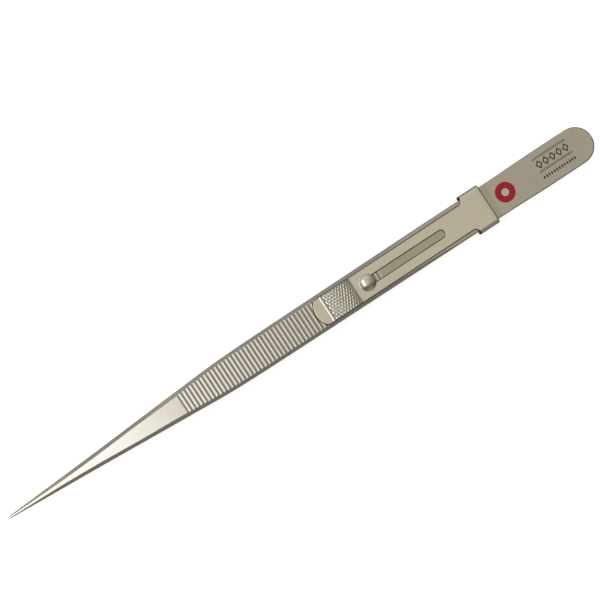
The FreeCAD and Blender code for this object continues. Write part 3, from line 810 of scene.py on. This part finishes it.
def paint_all(pieces, frame):
    leaf_steel = steel("ground_steel", (0.555, 0.538, 0.505), (0.61, 0.588, 0.552), 0.24,
                       (400, 9000, 9000), 0.3)
    sheet_steel = steel("formed_sheet", (0.84, 0.815, 0.73), (0.90, 0.88, 0.80), 0.25,
                        (5000, 700, 5000), 0.2)
    # nearly black metal for the edge band and walls: partly the sheared edge's tone, mostly painted shade
    sheared_edge_shade = steel("sheared_edge_and_painted_shade", (0.12, 0.11, 0.088), (0.17, 0.157, 0.127), 0.42,
                    (6000, 6000, 1500), 0.5)
    polished = steel("polished_steel", (0.86, 0.84, 0.78), (0.90, 0.885, 0.83), 0.12,
                     (2500, 2500, 2500), 0.05)
    weld = steel("weld_metal", (0.5, 0.49, 0.46), (0.6, 0.59, 0.56), 0.5, (3000, 3000, 3000), 0.6)
    red = enamel("red_enamel", (0.56, 0.011, 0.03), (0.66, 0.016, 0.04), 0.3)
    pale = enamel("pale_enamel", (0.80, 0.76, 0.80), (0.90, 0.87, 0.90), 0.3)
    etched = enamel("etched_dark", (0.06, 0.05, 0.035), (0.11, 0.095, 0.07), 0.6)
    # leaf steel darkened by about 0.88 and a little rougher for the grooved row: the darker colour is
    # painted shade on the ribs, the extra roughness a milled finish
    groove_band_shade = steel("milled_grooves_and_painted_shade", (0.488, 0.473, 0.444), (0.537, 0.517, 0.486), 0.26,
                   (400, 9000, 9000), 0.3)
    for name in ("upper", "lower"):
        paint(pieces[name], leaf_steel, groove_band_shade)
    paint(pieces["slide"], sheet_steel, sheared_edge_shade)
    paint(pieces["rivet"], polished)
    paint(pieces["enamel"], red)
    paint(pieces["centre"], pale)
    paint(pieces["marks"], etched)
    paint(frame["nodes"]["spot_welds"], weld)


# ---------------------------------------------------------------- stage, light and camera

def make_floor():
    """A plain pale floor that glows a little, so that the tweezers' shadow on it stays faint."""
    bm = bmesh.new()
    bmesh.ops.create_grid(bm, x_segments=1, y_segments=1, size=FLOOR_HALF)
    floor = finish_mesh("floor", bm, Matrix.Scale(MM, 4), 30)
    material, _, shader = new_material("floor_white")
    shader.inputs["Base Color"].default_value = (0.9, 0.9, 0.9, 1)
    shader.inputs["Roughness"].default_value = 0.9
    shader.inputs["Specular IOR Level"].default_value = 0.0
    shader.inputs["Emission Color"].default_value = (1, 1, 1, 1)
    shader.inputs["Emission Strength"].default_value = 0.8
    paint(floor, material)
    floor.visible_glossy = False


def make_world():
    """Soft room light: warm overhead, dim near the horizon, brighter on the left; white to the eye."""
    world = bpy.data.worlds.new("room")
    bpy.context.scene.world = world
    world.use_nodes = True
    tree = world.node_tree
    place = tree.nodes.new("ShaderNodeTexCoord")
    split = tree.nodes.new("ShaderNodeSeparateXYZ")
    tree.links.new(place.outputs["Generated"], split.inputs["Vector"])
    ramp = tree.nodes.new("ShaderNodeValToRGB")
    tree.links.new(split.outputs["Z"], ramp.inputs["Fac"])
    stops = ramp.color_ramp.elements
    stops[0].position, stops[0].color = 0.0, (0.085, 0.085, 0.08, 1)
    stops[1].position, stops[1].color = 1.0, (0.57, 0.523, 0.42, 1)
    for position, colour in ((0.3, (0.13, 0.127, 0.115, 1)), (0.45, (0.2, 0.193, 0.17, 1)),
                             (0.62, (0.24, 0.228, 0.19, 1)), (0.8, (0.27, 0.25, 0.205, 1)),
                             (0.95, (0.40, 0.368, 0.295, 1))):
        stops.new(position).color = colour
    half = tree.nodes.new("ShaderNodeMapRange")
    half.inputs["From Min"].default_value = -1.0
    tree.links.new(split.outputs["Y"], half.inputs["Value"])
    sides = tree.nodes.new("ShaderNodeValToRGB")
    tree.links.new(half.outputs["Result"], sides.inputs["Fac"])
    levels = sides.color_ramp.elements
    levels[0].position, levels[0].color = 0.0, (0.8, 0.8, 0.8, 1)
    levels[1].position, levels[1].color = 1.0, (0.6, 0.6, 0.6, 1)
    for position, level in ((0.35, 0.35), (0.6, 0.25), (0.78, 0.12), (0.92, 0.25)):
        levels.new(position).color = (level, level, level, 1)
    side = tree.nodes.new("ShaderNodeMath")
    side.operation = "MULTIPLY"
    side.inputs[1].default_value = 4.0
    tree.links.new(sides.outputs["Color"], side.inputs[0])
    room = tree.nodes["Background"]
    tree.links.new(ramp.outputs["Color"], room.inputs["Color"])
    tree.links.new(side.outputs["Value"], room.inputs["Strength"])
    plain = tree.nodes.new("ShaderNodeBackground")
    plain.inputs["Color"].default_value = (0.95, 0.95, 0.95, 1)
    ray = tree.nodes.new("ShaderNodeLightPath")
    pick = tree.nodes.new("ShaderNodeMixShader")
    tree.links.new(ray.outputs["Is Camera Ray"], pick.inputs["Fac"])
    tree.links.new(room.outputs["Background"], pick.inputs[1])
    tree.links.new(plain.outputs["Background"], pick.inputs[2])
    tree.links.new(pick.outputs["Shader"], tree.nodes["World Output"].inputs["Surface"])


def area_light(name, low, high, height, radiance, colour):
    """A rectangular soft box facing down, over a rectangle of the floor between two corners."""
    data = bpy.data.lights.new(name, "AREA")
    data.shape = "RECTANGLE"
    data.size, data.size_y = high[0] - low[0], high[1] - low[1]
    data.energy = radiance * math.pi * data.size * data.size_y
    data.color = colour
    light = bpy.data.objects.new(name, data)
    bpy.context.scene.collection.objects.link(light)
    light.location = ((low[0] + high[0]) / 2, (low[1] + high[1]) / 2, height)
    light.visible_camera = False


def make_lights():
    """A bright soft box above and past the tips; everything else comes from the room."""
    area_light("tip_softbox", SOFTBOX_LOW, SOFTBOX_HIGH, SOFTBOX_HEIGHT, SOFTBOX_RADIANCE, SOFTBOX_COLOUR)


def make_camera(centre):
    """Straight down on the upper leaf, with the tips to the lower left."""
    right = Vector((-math.cos(FRAME_TURN), math.sin(FRAME_TURN), 0))
    up = Vector((-math.sin(FRAME_TURN), -math.cos(FRAME_TURN), 0))
    data = bpy.data.cameras.new("camera")
    data.lens = 400.0
    data.sensor_width = 36.0
    camera = bpy.data.objects.new("camera", data)
    bpy.context.scene.collection.objects.link(camera)
    aim = Vector((centre.x, centre.y, AIM_HEIGHT)) + AIM_RIGHT * right + AIM_UP * up
    back = right.cross(up)
    place = aim + back * (FRAME_WIDE * data.lens / data.sensor_width)
    camera.matrix_world = Matrix((
        (right.x, up.x, back.x, place.x),
        (right.y, up.y, back.y, place.y),
        (right.z, up.z, back.z, place.z),
        (0, 0, 0, 1),
    ))
    data.clip_start, data.clip_end = 0.01, 10.0
    bpy.context.scene.camera = camera


def main():
    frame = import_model()
    cad_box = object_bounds()
    upper_frame, lower_frame, spread = leaf_frames(frame)
    arm_frame = upper_frame @ Matrix.Rotation(-spread, 4, "Y")
    pieces = {
        "upper": make_leaf("upper", upper_frame, spread),
        "lower": make_leaf("lower", lower_frame, spread),
        "slide": make_slide(arm_frame),
        "rivet": make_rivet(arm_frame),
        "marks": make_marks(upper_frame),
    }
    pieces["enamel"], pieces["centre"] = make_badge(upper_frame)
    paint_all(pieces, frame)
    centre = (cad_box[0] + cad_box[1]) / 2
    make_floor()
    make_world()
    make_lights()
    make_camera(centre)
    bpy.context.scene.view_settings.view_transform = "Standard"


main()
